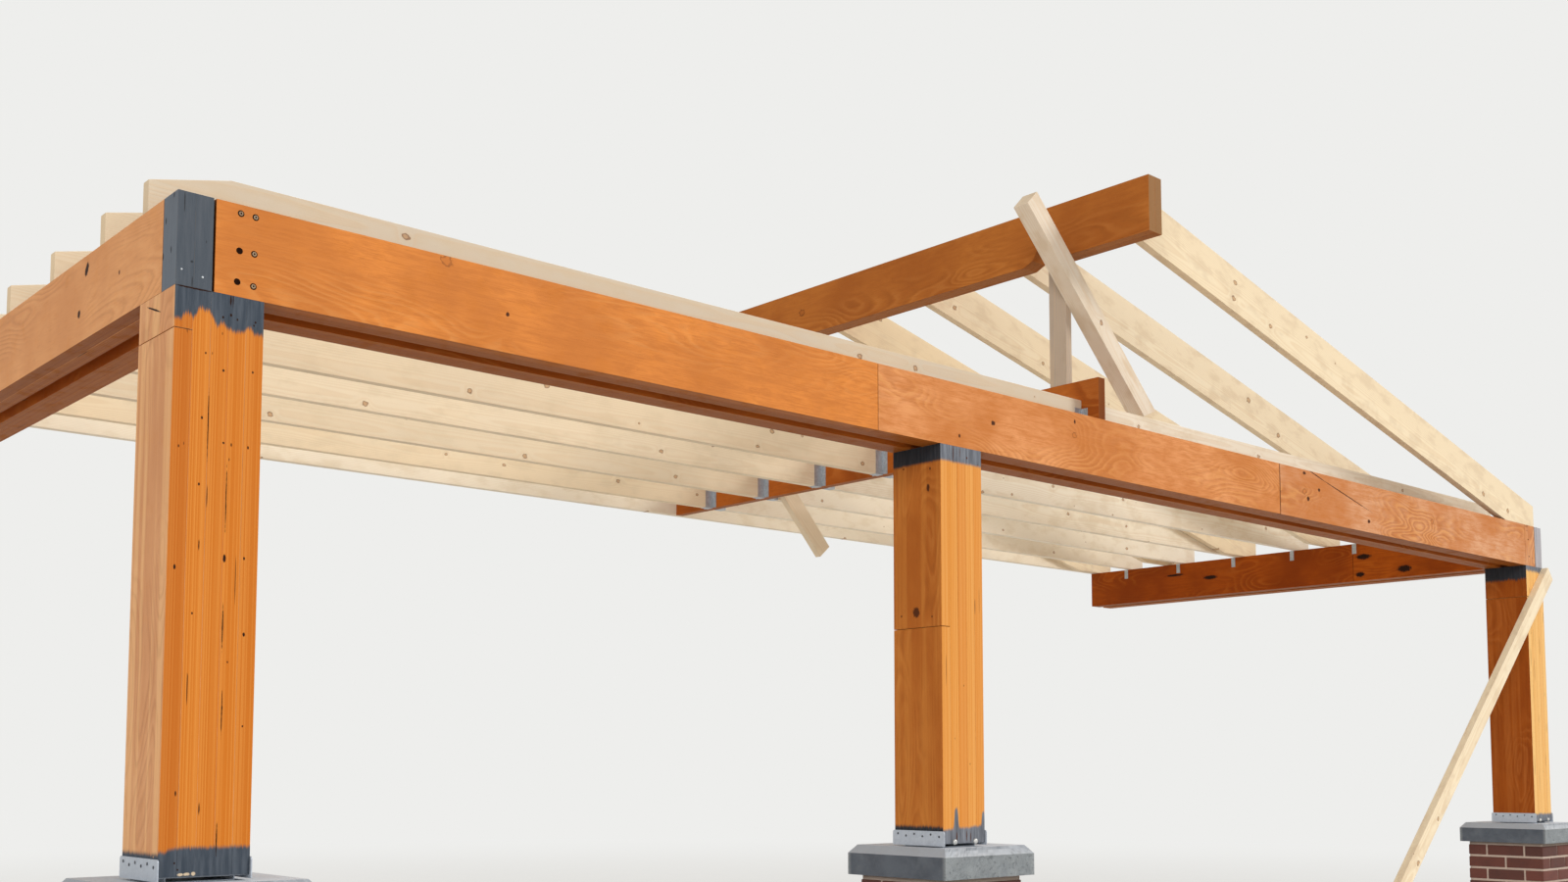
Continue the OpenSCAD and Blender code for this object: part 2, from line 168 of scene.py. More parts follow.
# Effects that several finishes share; the parts of grain run along, across and through the board
def sawnGrain(grain, ringWidth, wander, pull):  # growth rings and fibres of sawn softwood
    part = split(grain)
    drift = (cloudy(grain, (0.55, 3.0, 3.0), 3.0) - 0.5) * wander
    across = part[1] + drift
    reach = calc("SQRT", across * across + part[2] * part[2]) + drift + pull
    turn = calc("FRACT", reach / ringWidth)
    late = fade(turn, 0.25, 0.85) * fade(turn, 1.0, 0.9)
    fibre = cloudy(grain, (5.0, 420.0, 420.0), 3.0, 0.6)
    return {"Rings": late, "Fibres": fibre, "Height": late * 0.4 + fibre}


def roundKnots(grain, along, across, radius, share):  # dark rims; Pull bends the rings round them
    part = split(grain)
    dx, dy, luck = scattered(part[0] / along, part[1] / across, 0.8)
    dx, dy = dx * (along * 0.8), dy * across
    far = calc("SQRT", dx * dx + dy * dy)
    size = radius * fade(luck[0], 0.0, 1.0, 0.3, 1.1)
    far = far / size + (cloudy(grain, (70.0, 90.0, 90.0)) * 1.6 - 0.8)
    there = calc("LESS_THAN", luck[1], share)
    rim = fade(far, 1.3, 1.0) * fade(far, 0.65, 0.9)
    swirl = calc("EXPONENT", far * far * -0.16)
    return {"Knot": fade(far, 1.05, 0.75) * there, "Rim": rim * there, "Pull": swirl * there * 0.009}


def veneerFigure(grain, loops, pull):  # peeled veneer: pale loops in patches, dark late wood, mottle and pores
    hills = cloudy(grain, (1.5, 4.6, 0.0), 1.5, 0.4, 0.25) + pull * 4.0
    shaky = cloudy(grain, (14.0, 60.0, 0.0)) * 0.02
    turn = calc("FRACT", (hills + shaky) * loops)
    line = fade(turn, 0.45, 0.8) * fade(turn, 1.0, 0.88)
    late = fade(turn, 0.0, 0.12) * fade(turn, 0.42, 0.2)
    patch = fade(cloudy(grain, (1.2, 5.0, 0.0)), 0.42, 0.62)
    fibre = cloudy(grain, (6.0, 240.0, 240.0), 3.0, 0.65)
    pores = fade(cloudy(grain, (22.0, 560.0, 4.0), 2.0, 0.6), 0.6, 0.74)
    mottle = cloudy(grain, (9.0, 40.0, 0.0), 5.0, 0.7, 0.6)
    return {"Figure": line * patch * fade(fibre, 0.25, 0.65, 0.3, 1.0), "Late": late * patch, "Pores": pores,
            "Mottle": mottle * 0.6 + fibre * 0.4, "Height": fibre - pores * 0.7}


def plyEdge(grain, layer, splits):  # the edge of laminated veneer: thin layers, dark glue lines, splits and pits
    long, thin = 0.21, 0.012  # room for one split, in metres
    part = split(grain)
    through = (part[2] + cloudy(grain, (1.6, 1.0, 20.0)) * 0.003) / layer
    shade = addNode("TexWhiteNoise", {"W": calc("FLOOR", through)}, noise_dimensions="1D")
    streak = cloudy(grain, (1.3, 1.0, 300.0), 3.0, 0.6)
    fine = cloudy(grain, (9.0, 1.0, 900.0), 2.0, 0.6)
    glue = fade(calc("FRACT", through), 0.16, 0.0) * fade(streak, 0.35, 0.6)
    dx, dy, luck = scattered(part[0] / long, part[2] / thin, 1.0)
    dx = dx * long / fade(luck[0], 0.45, 1.0, 0.004, 0.07)
    dy = dy * thin / fade(luck[2], 0.0, 1.0, 0.0009, 0.0022)
    pits = fade(dx * dx + dy * dy, 1.2, 0.5) * calc("LESS_THAN", luck[1], splits)
    return {"Layers": shade * 0.45 + streak * 0.55, "Glue": glue, "Pits": pits,
            "Height": fine + streak * 0.6 - (pits + glue) * 1.2}


def brushedPaint(place, depth, ragged):  # depth is how far inside the painted edge, in metres
    teeth = cloudy(place, (320.0, 320.0, 5.0), 4.0, 0.8)
    wide = cloudy(place, (26.0, 26.0, 4.0), 1.0)
    jag = calc("MULTIPLY_ADD", teeth, 2.6, wide * 0.6) - 1.6
    return {"Cover": fade(depth + jag * ragged, -0.006, 0.008),
            "Strokes": cloudy(place, (95.0, 95.0, 9.0), 4.0, 0.6)}


def singleMark(place, spot, size):  # one split, nail hole or knot; size is its half sizes in metres
    apart = vector("SUBTRACT", place, spot)
    ragged = cloudy(place, 130.0)
    far = vector("LENGTH", vector("DIVIDE", apart, size), out="Value")
    return {"Mark": fade(far + (ragged - 0.5) * 0.9, 1.15, 0.7)}


def siteWeather(place, arris):  # slow blotches of damp, dust, and light wear on arrises
    return {"Blotch": cloudy(place, 2.3, 3.0, 0.55), "Dust": fade(cloudy(place, 14.0, 5.0, 0.65), 0.45, 0.75),
            "Wear": fade(cloudy(place, 38.0, 3.0, 0.6), 0.4, 0.62) * arris}


grainGroup = makeGroup("sawnGrain", sawnGrain, {"Grain": None, "RingWidth": 0.006, "Wander": 0.02, "Pull": 0.0})
knotGroup = makeGroup("knots", roundKnots, {"Grain": None, "Along": 0.6, "Across": 0.11, "Radius": 0.011,
                                            "Share": 0.5})
veneerGroup = makeGroup("veneerFigure", veneerFigure, {"Grain": None, "Loops": 16.0, "Pull": 0.0})
plyGroup = makeGroup("plyEdge", plyEdge, {"Grain": None, "Layer": 0.0032, "Splits": 0.2})
brushGroup = makeGroup("brushedPaint", brushedPaint, {"Place": None, "Depth": 0.0, "Ragged": 0.02})
markGroup = makeGroup("singleMark", singleMark, {"Place": None, "Spot": None, "Size": None})
weatherGroup = makeGroup("siteWeather", siteWeather, {"Place": None, "Arris": 0.0})


def makeFinish(name, build, look, *more):  # build gives the colour, the roughness and the height
    material = bpy.data.materials.new(name)
    material.use_nodes = True
    bench["tree"], bench["look"] = material.node_tree, look
    shader = material.node_tree.nodes["Principled BSDF"].inputs
    colour, rough, height = build(addNode("TexCoord", out="Object"), look, *more)
    strength, depth = look["bump"]
    plugIn(shader["Base Color"], colour)
    plugIn(shader["Roughness"], rough)
    plugIn(shader["Normal"], addNode("Bump", {"Height": height, "Strength": strength, "Distance": depth}))
    for key, plug in (("shine", "Specular IOR Level"), ("metal", "Metallic")):
        if key in look:
            shader[plug].default_value = look[key]
    return material


def readMark(name, out="Fac"):
    return addNode("Attribute", out=out, attribute_name=name)


def faceMasks(*kinds):
    number = readMark("faceKind")
    return [calc("COMPARE", number, faceKinds[kind], 0.3) for kind in kinds]


def leaning(place, spot, slant):  # tilts the place round a spot, for a mark that lies at a slant
    part = split(place)
    away = part[0] + part[1] - (spot[0] + spot[1])
    return vector("ADD", place, addNode("CombineXYZ", {2: away * -slant}))


def marked(place, marks):  # all the single marks of one finish
    total = None
    for spot, size, slant in marks:
        turned = leaning(place, spot, slant) if slant else place
        one = useGroup(markGroup, place=turned, spot=spot, size=size)["Mark"]
        total = calc("MAXIMUM", total, one) if total else one
    return total


def softwood(place, look):
    grain, shade = readMark("grain", "Vector"), readMark("shade")
    end, arris = faceMasks("end", "arris")
    knot = useGroup(knotGroup, grain=grain, along=look["knotAlong"], across=0.085, radius=look["knotSize"],
                    share=look["knots"])
    sawn = useGroup(grainGroup, grain=grain, ringWidth=look["ring"], wander=0.05, pull=knot["Pull"])
    weather = useGroup(weatherGroup, place=place, arris=arris)
    colour = mixed(calc("MINIMUM", shade, 1.0), "pale", "warm")
    # Shades above 1 grey a board: partly weathering and partly painted shade on the left bay's joists, painted shade
    # on the upper brace board; the blotches are real greying
    agedAndShaded = calc("MAXIMUM", shade - 1.0, 0.0)
    agedAndShaded = calc("ADD", weather["Blotch"] * look["greying"], agedAndShaded, limit=True)
    colour = mixed(agedAndShaded, colour, "grey")
    glaze = cloudy(grain, (7.0, 15.0, 15.0), 3.0, 0.6)
    colour = mixed(fade(glaze, 0.46, 0.66, 0.0, look["glaze"]), colour, "dull")
    colour = layered(colour, (sawn["Rings"], look["ringShow"], "late"), (sawn["Fibres"], 0.16, "late"),
                     (knot["Knot"], 0.75, "knot"), (knot["Rim"], 0.8, "rim"), (end, 0.35, "late"),
                     (weather["Wear"], 0.4, "pale"))
    rough = fade(sawn["Rings"], 0.0, 1.0, 0.82, 0.66)
    return colour, rough, sawn["Height"] - knot["Rim"] * 0.6


def laminated(place, look, marks=()):
    grain, shade = readMark("grain", "Vector"), readMark("shade")
    edge, end, arris = faceMasks("edge", "end", "arris")
    knot = useGroup(knotGroup, grain=grain, along=1.3, across=0.16, radius=0.013, share=look["knots"])
    face = useGroup(veneerGroup, grain=grain, loops=look["loops"], pull=knot["Pull"])
    ply = useGroup(plyGroup, grain=grain, splits=look["splits"])
    weather = useGroup(weatherGroup, place=place, arris=arris)
    wide = mixed(shade, "face", "faceWarm")
    wide = mixed(fade(weather["Blotch"], 0.38, 0.66, 0.0, 0.75), wide, "faceDeep")
    wide = mixed(fade(face["Mottle"], 0.38, 0.62, 0.0, look["mottle"]), wide, "faceDeep")
    if look["bands"]:
        band = cloudy(grain, (0.5, 24.0, 0.0), 3.0, 0.6)
        wide = mixed(fade(band, 0.46, 0.6, 0.0, look["bands"]), wide, "band")
        wide = mixed(fade(band, 0.42, 0.3, 0.0, look["bands"] * 0.6), wide, "faceDeep")
    bold = fade(shade, 0.0, 0.9, look["calm"], 1.0)
    wide = mixed(face["Late"] * look["late"] * bold, wide, "pore")
    wide = mixed(face["Figure"] * look["figure"] * bold, wide, "flame")
    wide = layered(wide, (face["Pores"], 0.25, "pore"), (knot["Knot"], 0.55, "faceDeep"),
                   (knot["Rim"], 0.6, "pore"))
    narrow = mixed(fade(ply["Layers"], 0.2, 0.8), "edge", "edgePale")
    narrow = layered(narrow, (shade, look["edgeShift"], "edgeDeep"), (ply["Glue"], 0.3, "edgeDeep"),
                     (ply["Pits"], 0.85, "pit"))
    side = calc("MAXIMUM", edge, end)
    colour = layered(mixed(side, wide, narrow), (end, look["endShow"], "endTone"),
                     (weather["Wear"], 0.35, "edgePale"))
    spots = marked(place, marks)
    rough = fade(weather["Dust"], 0.0, 1.0, 0.5, 0.66)
    height = side * ply["Height"] + (1.0 - side) * face["Height"]
    if "topBands" in look:
        spot, facing = split(place), split(addNode("NewGeometry", out="Normal"))
        across = spot[0] - look["left"]
        toLeft, toRight = calc("LESS_THAN", facing[0], -0.9), calc("GREATER_THAN", facing[0], 0.9)
        cover = 0.0
        for level, way, bands in ((look["top"], -1.0, look["topBands"]), (look["bottom"], 1.0, look["bottomBands"])):
            front = calc("MULTIPLY_ADD", across, bands["tilt"], bands["front"])
            depth = toLeft * (bands["left"] - bands["front"]) + front
            depth = toRight * (bands["right"] - bands["front"]) + depth
            for start, width, extra in bands.get("runs", ()):  # places where the paint ran on
                near = calc("ABSOLUTE", across - start)
                depth = depth + fade(near, width, width * 0.3) * extra
            inside = depth - (spot[2] - level) * way
            brush = useGroup(brushGroup, place=place, depth=inside, ragged=bands["ragged"])
            cover = calc("MAXIMUM", cover, brush["Cover"])
        chips = calc("LESS_THAN", cloudy(place, (60.0, 60.0, 130.0)), 0.24)
        cover = calc("SUBTRACT", cover, chips * 0.7, limit=True)
        coat = mixed(fade(brush["Strokes"], 0.3, 0.75), "dark", "light")
        # Paint on faces that look left takes the deep tone at its share: a painted shade
        coat = layered(coat, (toLeft, look["leftDark"], "deep"), (ply["Pits"], 0.7, "pit"),
                       (weather["Wear"], 0.35, "worn"))
        if look["bare"]:
            coat = mixed(marked(place, look["bare"]), coat, "chip")
        colour = mixed(cover, colour, coat)
        rough = rough + cover * 0.2
        height = height + cover * (brush["Strokes"] + 0.4)
    if marks:
        colour = mixed(spots, colour, "pit")
        height = height - spots
    return colour, rough, height


def painted(place, look, marks=()):
    grain = readMark("grain", "Vector")
    arris = faceMasks("arris")[0]
    ply = useGroup(plyGroup, grain=grain, splits=0.12)
    brush = useGroup(brushGroup, place=place, depth=1.0, ragged=0.01)
    weather = useGroup(weatherGroup, place=place, arris=arris)
    colour = mixed(fade(brush["Strokes"], 0.3, 0.75), "dark", "light")
    # Faces that look left take the look's left tone: painted light on the blue block, painted shade on the grey block
    facing = split(addNode("NewGeometry", out="Normal"))
    colour = layered(colour, (calc("LESS_THAN", facing[0], -0.5), 0.6, "left"))
    if marks:
        colour = mixed(marked(place, marks), colour, "deep")
    colour = layered(colour, (ply["Glue"], 0.2, "deep"))
    colour = mixed(ply["Pits"], colour, "deep")
    colour = layered(colour, (weather["Dust"], 0.25, "light"), (weather["Wear"], 0.5, "wood"))
    rough = fade(brush["Strokes"], 0.3, 0.7, 0.5, 0.66)
    return colour, rough, brush["Strokes"] + ply["Height"] * 0.7


def firedBrick(place, look):
    shade = readMark("shade")
    grit = cloudy(place, 420.0, 4.0, 0.7)
    pitting = fade(cloudy(place, 160.0, 2.0, 0.6), 0.62, 0.72)
    smoke = fade(cloudy(place, 9.0, 3.0, 0.6), 0.4, 0.75)
    colour = layered(mixed(shade, "red", "brown"), (smoke, 0.45, "smoked"),
                     (grit, 0.3, "pale"), (pitting, 0.6, "smoked"))
    return colour, fade(grit, 0.3, 0.7, 0.78, 0.92), grit - pitting


def sandyMortar(place, look):
    sand = cloudy(place, 700.0, 3.0, 0.7)
    weather = useGroup(weatherGroup, place=place, arris=0.0)
    colour = layered(mixed(fade(sand, 0.3, 0.7), "dark", "light"), (weather["Dust"], 0.3, "stain"))
    return colour, fade(sand, 0.3, 0.7, 0.85, 0.95), sand


def capStone(place, look):
    rock = readMark("shade")
    fine = cloudy(place, 330.0, 5.0, 0.7)
    veins = cloudy(place, 9.0, 4.0, 0.6, 0.4)
    pocks = fade(cloudy(place, 70.0, 4.0, 0.65), 0.56, 0.68)
    weather = useGroup(weatherGroup, place=place, arris=1.0)
    facing = split(addNode("NewGeometry", out="Normal"))
    colour = mixed(fade(veins, 0.3, 0.7), "dark", "mid")
    colour = layered(colour, (rock, fade(fine, 0.25, 0.6, 0.4, 1.0), "pale"), (pocks * rock, 0.6, "dark"),
                     (weather["Dust"], 0.3, "dust"))
    # Faces that look up take the pale top tone, a painted light
    colour = mixed(fade(facing[2], 0.3, 0.95, 0.0, 0.95), colour, "top")
    height = (fine - pocks) * fade(rock, 0.0, 1.0, 0.12, 1.0)
    return colour, fade(fine, 0.3, 0.7, 0.68, 0.85), height


def galvanised(place, look):
    spangle = addNode("TexVoronoi", {"Vector": place, "Scale": 120.0}, "Color")
    flake = split(spangle, "Color")[0]
    weather = useGroup(weatherGroup, place=place, arris=0.0)
    scuff = cloudy(place, (60.0, 400.0, 60.0), 3.0, 0.6)
    colour = mixed(flake * 0.6 + scuff * 0.4, "dark", "light")
    colour = layered(colour, (weather["Dust"], 0.35, "dull"))
    rough = fade(flake, 0.0, 1.0, 0.34, 0.5) + weather["Dust"] * 0.15
    return colour, rough, scuff + flake * 0.3


def paleGround(place, look):
    speck = cloudy(place, 3.0, 4.0, 0.6)
    return mixed(speck, "dark", "light"), fade(speck, 0.0, 1.0, 0.85, 0.95), speck


# Finishes: colours as on screen; bump is its strength and its depth in metres
joistLook = {
    "pale": (250, 241, 222), "warm": (240, 218, 182), "grey": (204, 194, 178), "late": (214, 182, 140),
    "knot": (186, 142, 98), "rim": (126, 88, 60), "dull": (214, 196, 166), "glaze": 0.42, "greying": 0.4,
    "ring": 0.0052, "ringShow": 0.26, "knots": 0.26, "knotAlong": 0.3, "knotSize": 0.0085, "bump": (0.35, 0.0012),
    "shine": 0.2}
rafterLook = dict(
    joistLook, pale=(245, 230, 200), warm=(238, 214, 174), greying=0.22, ringShow=0.34, knots=0.3, knotSize=0.011,
    knotAlong=0.36, dull=(210, 188, 158), glaze=0.5)
# The stud is darker and greyer than the other softwood
studLook = dict(
    joistLook, pale=(184, 166, 150), warm=(176, 158, 138), grey=(168, 156, 142), dull=(160, 142, 124), glaze=0.3)
braceLook = dict(rafterLook, pale=(242, 228, 208), warm=(232, 214, 190), grey=(196, 186, 170), greying=0.5)
beamLook = {
    "face": (192, 106, 38), "faceWarm": (178, 94, 32), "faceDeep": (152, 72, 20), "flame": (220, 140, 66),
    "pore": (92, 46, 20), "edge": (148, 80, 24), "edgePale": (174, 102, 34), "edgeDeep": (98, 46, 14),
    "pit": (46, 24, 14), "endTone": (104, 48, 16), "endShow": 0.6, "mottle": 0.5, "figure": 0.3, "late": 0.12,
    "loops": 20.0, "knots": 0.2, "splits": 0.08, "edgeShift": 0.45, "bands": 0.0, "calm": 1.0,
    "bump": (0.3, 0.001), "shine": 0.08}
boardLook = dict(
    beamLook, edge=(150, 82, 26), edgePale=(172, 102, 40), face=(226, 138, 58), faceWarm=(217, 168, 132),
    faceDeep=(190, 112, 50), flame=(240, 182, 112), pore=(132, 76, 38), pit=(78, 42, 22), figure=0.4, mottle=0.68,
    late=0.22, loops=30.0, calm=0.35)
paleBoardLook = dict(
    beamLook, face=(230, 166, 110), faceWarm=(222, 158, 104), faceDeep=(206, 140, 88), flame=(238, 186, 132),
    figure=0.2, loops=24.0)
innerLook = dict(beamLook, face=(186, 90, 16), faceWarm=(168, 76, 12), faceDeep=(134, 56, 8), flame=(204, 116, 40))
ridgeLook = dict(
    beamLook, face=(190, 115, 48), faceWarm=(180, 106, 42), faceDeep=(160, 88, 34), flame=(212, 142, 72),
    figure=0.24, edge=(166, 98, 42), edgePale=(188, 122, 66), endTone=(142, 108, 70), endShow=0.75)
postLook = dict(
    beamLook, edge=(204, 116, 34), edgePale=(220, 140, 60), edgeDeep=(168, 82, 26), face=(222, 164, 118),
    faceWarm=(216, 156, 108), faceDeep=(200, 138, 92), flame=(236, 184, 138), figure=0.16, mottle=0.4, splits=0.06,
    knots=0.0, endShow=0.2, bands=0.6, band=(236, 184, 128))
# The middle and right posts' wide faces are darker: partly their veneer's own tone and partly painted shade
middleLook = dict(
    postLook, face=(188, 112, 46), faceWarm=(204, 124, 52), faceDeep=(164, 88, 30), flame=(212, 140, 68),
    edge=(216, 140, 58), edgePale=(230, 166, 92), edgeDeep=(204, 116, 44), splits=0.12, figure=0.3, bands=0.36,
    band=(206, 134, 60), pit=(84, 44, 20))
rightLook = dict(
    middleLook, face=(154, 76, 18), faceWarm=(164, 84, 24), faceDeep=(134, 60, 14), band=(176, 100, 42),
    flame=(184, 108, 50), edge=(230, 174, 98), edgePale=(242, 200, 132), edgeDeep=(214, 140, 64))
metalLook = {
    "dark": (158, 164, 170), "light": (196, 200, 204), "dull": (150, 152, 154), "bump": (0.15, 0.0006),
    "metal": 0.6, "shine": 0.5}
flangeLook = dict(metalLook, dark=(172, 180, 191), light=(192, 199, 208), dull=(160, 167, 176), metal=0.25)
# deep is the painted shade laid on paint that looks left, at the share given with it
slate = {
    "dark": (62, 70, 80), "light": (84, 91, 100), "deep": (70, 78, 88), "leftDark": 0.3, "worn": (112, 118, 124),
    "chip": (206, 186, 158)}
# On the middle and right posts the paint that looks left goes near black: a painted shade
blackish = dict(
    slate, dark=(92, 95, 102), light=(132, 136, 144), deep=(24, 24, 28), leftDark=0.85, worn=(150, 152, 156))
# left is the tone of faces that look left, here a lighter painted light
bluePaint = {
    "dark": (60, 69, 79), "light": (80, 86, 94), "left": (112, 120, 130), "deep": (30, 34, 40),
    "wood": (120, 112, 104), "bump": (0.25, 0.001), "shine": 0.3}
# here left is darker, a painted shade on the grey block's left face
greyPaint = dict(
    bluePaint, dark=(158, 154, 158), light=(180, 176, 180), left=(120, 118, 120), deep=(96, 98, 100),
    wood=(196, 180, 160))
brickLook = {
    "red": (100, 50, 40), "brown": (68, 36, 30), "smoked": (46, 28, 26), "pale": (144, 88, 72),
    "bump": (0.5, 0.0015)}
mortarLook = {"dark": (174, 152, 138), "light": (204, 184, 168), "stain": (140, 120, 106), "bump": (0.6, 0.002)}
# top is the tone of faces that look up, a painted light on the cap tops
stoneLook = {
    "dark": (74, 79, 87), "mid": (92, 98, 106), "pale": (152, 157, 158), "dust": (118, 122, 126),
    "top": (212, 217, 223), "bump": (0.7, 0.003), "shine": 0.3}
floorLook = {
    "dark": (228, 227, 224), "light": (234, 233, 230), "bump": (0.05, 0.002), "radius": 70.0, "clear": (7.0, 26.0)}


def onFront(*marks):  # x, z, half width and half height in millimetres on the front faces, then a slant
    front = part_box("post_left")[0].y
    return [((x / 1000, front, z / 1000), (wide / 1000, 0.02, tall / 1000), sum(slant))
            for x, z, wide, tall, *slant in marks]


def onSide(x, *marks):  # y, z, half width and half height in millimetres on a face that looks left
    return [((x, y / 1000, z / 1000), (0.02, wide / 1000, tall / 1000), sum(slant))
            for y, z, wide, tall, *slant in marks]


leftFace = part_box("post_left")[0].x
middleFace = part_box("post_middle")[0].x
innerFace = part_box("right_beam_inner")[0].x
posts = {
    "left": dict(
        postLook, **slate, drop=0.105, shades=(0.95, 0.15, 0.3, 0.2, 0.4),
        topBands={"front": 0.085, "tilt": 0.02, "left": -0.05, "right": 0.085, "ragged": 0.02,
                  "runs": ((0.033, 0.018, -0.018), (0.074, 0.034, -0.037), (0.118, 0.012, -0.01),
                           (0.186, 0.014, -0.012))},
        bottomBands={"front": 0.07, "tilt": 0.0, "left": 0.064, "right": 0.07, "ragged": 0.009,
                     "runs": ((0.0, 0.034, -0.009),)},
        bare=onFront((-3872, -1729.2, 9, 3.5), (-3858, -1728.8, 8, 4), (-3840.5, -1728.4, 5, 4.5)),
        marks=onFront(
            (-3846.7, -466, 2.2, 3), (-3801.9, -502, 3, 4), (-3727.7, -494, 2.2, 3), (-3851.7, -627, 2.6, 4),
            (-3796.8, -682, 2.6, 3), (-3777.2, -684, 2, 5), (-3735, -685, 2.4, 5), (-3854.1, -791, 2.6, 4),
            (-3907, -997, 2.8, 6), (-3786.6, -966, 3.6, 11), (-3737.4, -962, 2.4, 4), (-3861.5, -1106, 2.2, 3),
            (-3836, -640, 1.3, 85), (-3834, -820, 1.1, 30), (-3786.5, -820, 1.4, 85), (-3786.5, -1135, 1.6, 58),
            (-3782.9, -1345, 1.4, 55), (-3850, -940, 1.4, 14), (-3787, -1650, 1.6, 42), (-3888.4, -1538, 2, 7),
            (-3831.4, -1574, 1.6, 16), (-3733, -1150, 3, 5), (-3730, -1375, 2.2, 3), (-3786.5, -360, 3, 4),
            (-3728, -375, 2, 3), (-3782, -320, 1.2, 20), (-3772, -1220, 1.8, 3), (-3886.4, -1701.9, 2.4, 3),
            (-3878.4, -1717.7, 2, 3), (-3881, -311.5, 48, 2.6), (-3806.5, -369.2, 3, 4), (-3770, -368.3, 2.4, 3),
            (-3724, -366.8, 2.4, 3), (-3788, -324, 2.2, 14)) + onSide(leftFace, (-2912, -343, 46, 2.8, 0.345))),
    "middle": dict(
        middleLook, **blackish, drop=0.66, shades=(0.2, 0.1, 0.75, 0.15, 0.5),
        topBands={"front": 0.06, "tilt": 0.0, "left": 0.062, "right": 0.065, "ragged": 0.006},
        bottomBands={"front": 0.05, "tilt": 0.05, "left": 0.06, "right": 0.05, "ragged": 0.012,
                     "runs": ((0.07, 0.016, 0.07), (0.215, 0.012, 0.05))},
        bare=(), marks=onSide(
            middleFace, (-2927.4, -913, 17, 20), (-2853.9, -922, 4, 4), (-3004, -933, 4, 4), (-2868.2, -379.7, 4, 4),
            (-2999.7, -395.1, 4, 6), (-2989.4, -463.3, 8, 17)) + onFront(
            (-1045, -345, 4, 5), (-1119, -340, 1.8, 30), (-1084, -330, 1.4, 20),
            (-1117, -1720, 3, 20), (-1064, -1715, 2.2, 22), (-1043, -1720, 2, 18))),
    "right": dict(
        rightLook, **blackish, drop=0.18, shades=(0.1, 0.3, 0.2, 0.5, 0.2), bare=(), marks=(),
        topBands={"front": 0.03, "tilt": 0.0, "left": 0.08, "right": 0.05, "ragged": 0.03},
        bottomBands={"front": 0.04, "tilt": 0.0, "left": -0.05, "right": 0.04, "ragged": 0.02}),
}
boardMarks = onFront(
    (-2995, -200, 6, 7), (3828.5, -78, 3, 11), (3820.6, -107, 4, 4), (3885, -262, 3.5, 3.5), (-400, -112, 6, 10),
    (-1084, -268, 6, 7), (-894.6, -193, 12, 9), (1480, -156, 11, 9), (1378, -210, 13, 11), (1958, -255, 14, 10),
    (1348.2, -91.3, 14, 8), (1460, -89.7, 85, 3, -0.244), (1726.8, -149.3, 240, 3, -0.217),
    (1127.5, -192.5, 3.4, 220))
innerMarks = onSide(
    innerFace, (-979, -189, 55, 14), (-2330, -260, 45, 22), (-2068, -161, 50, 18), (-2045, -270, 30, 16),
    (-700, -150, 70, 8))
leftMarks = onSide(leftFace, (-2396.7, -115.4, 16, 17, -0.5), (-2343.2, -228.7, 12, 12), (-2655.3, -185.7, 5, 7))
blockMarks = onSide(
    leftFace, (-3025.9, -82, 4, 7), (-2976.9, -135, 4, 9), (-3015.6, -216, 4, 9), (-2964, -222, 4, 10))
blockMarks += onFront((-3885, -297, 1.6, 14), (-3887, -247, 4, 3))

joistTimber = makeFinish("joistTimber", softwood, joistLook)
rafterTimber = makeFinish("rafterTimber", softwood, rafterLook)
beamTimber = makeFinish("beamTimber", laminated, beamLook)
boardTimber = makeFinish("faceBoards", laminated, boardLook, boardMarks)
innerTimber = makeFinish("rightBeamFace", laminated, innerLook, innerMarks)
leftBeamTimber = makeFinish("leftBeamFace", laminated, paleBoardLook, leftMarks)
studTimber = makeFinish("darkGreyStud", softwood, studLook)
braceTimber = makeFinish("braceTimber", softwood, braceLook)
ridgeTimber = makeFinish("ridgeTimber", laminated, ridgeLook)
blockBlue = makeFinish("slateBlueBlock", painted, bluePaint, blockMarks)
blockGrey = makeFinish("greyBlock", painted, greyPaint)
brickSkin = makeFinish("firedBrick", firedBrick, brickLook)
mortarSkin = makeFinish("sandyMortar", sandyMortar, mortarLook)
stoneSkin = makeFinish("capStone", capStone, stoneLook)
zincSkin = makeFinish("galvanisedSheet", galvanised, metalLook)
flangeSkin = makeFinish("flangeSheet", galvanised, flangeLook)
boltSkin = makeFinish("boltHead", galvanised, dict(metalLook, dark=(190, 190, 188), light=(228, 228, 224)))
screwSkin = makeFinish("screwHead", galvanised, dict(metalLook, dark=(112, 86, 60), light=(182, 156, 122), metal=0.2))
# Dark heads for the nails in the base flanges: real nails, their dark tone a painted shade of the holes they sit in
nailShadeSkin = makeFinish("baseNail", galvanised, dict(metalLook, dark=(58, 62, 68), light=(84, 88, 94), metal=0.3))
# Dark discs over the screw countersinks and drive recesses: painted shade
holeShadeSkin = makeFinish(
    "screwHoleShade", galvanised,
    dict(metalLook, dark=(30, 16, 12), light=(44, 26, 18), dull=(34, 20, 14), metal=0.0, shine=0.0))
print("finishes made")


